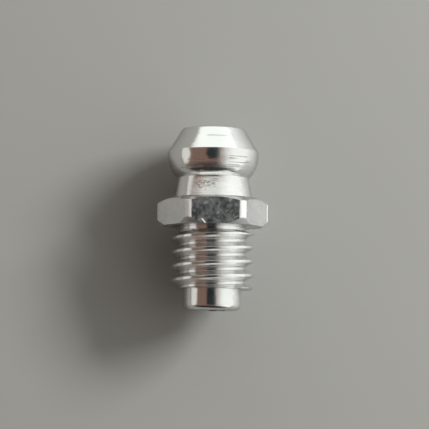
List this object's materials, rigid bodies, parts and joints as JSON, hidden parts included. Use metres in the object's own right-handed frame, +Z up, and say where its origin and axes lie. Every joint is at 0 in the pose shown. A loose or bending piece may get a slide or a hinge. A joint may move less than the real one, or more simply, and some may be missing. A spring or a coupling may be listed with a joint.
{
  "type": "grease nipple",
  "caption": "Straight grease nipple: coned head with a ball check valve behind its orifice, hexagon for a spanner, and an M6 threaded shank with a plain pilot end.",
  "frame": {"origin": "on the nipple's axis, in the plane of the face under the hexagon that seats on the tapped hole's rim", "axes": "+Y along the axis towards the head, -Y towards the threaded shank, +Z up out of the hexagon's upper flat, -Z out of the flat it lies on, X across two of the hexagon's corners"},
  "size_m": [0.008, 0.013, 0.007],
  "materials": {
    "zinc_plate": "bright zinc plate over turned steel",
    "ball_steel": "polished bearing steel",
    "spring_wire": "drawn spring wire"
  },
  "bodies": {
    "nipple": {"nipple_body": "zinc_plate", "valve_spring": "spring_wire"},
    "ball": {"check_ball": "ball_steel"}
  },
  "joints": [
    {"name": "ball_lift", "type": "slide", "parent": "nipple", "child": "ball", "axis": [0, -1, 0], "range_m": [0, 0.007], "stiffness_N_per_m": 400, "springref_m": -0.0018, "deforming": ["valve_spring"]}
  ]
}
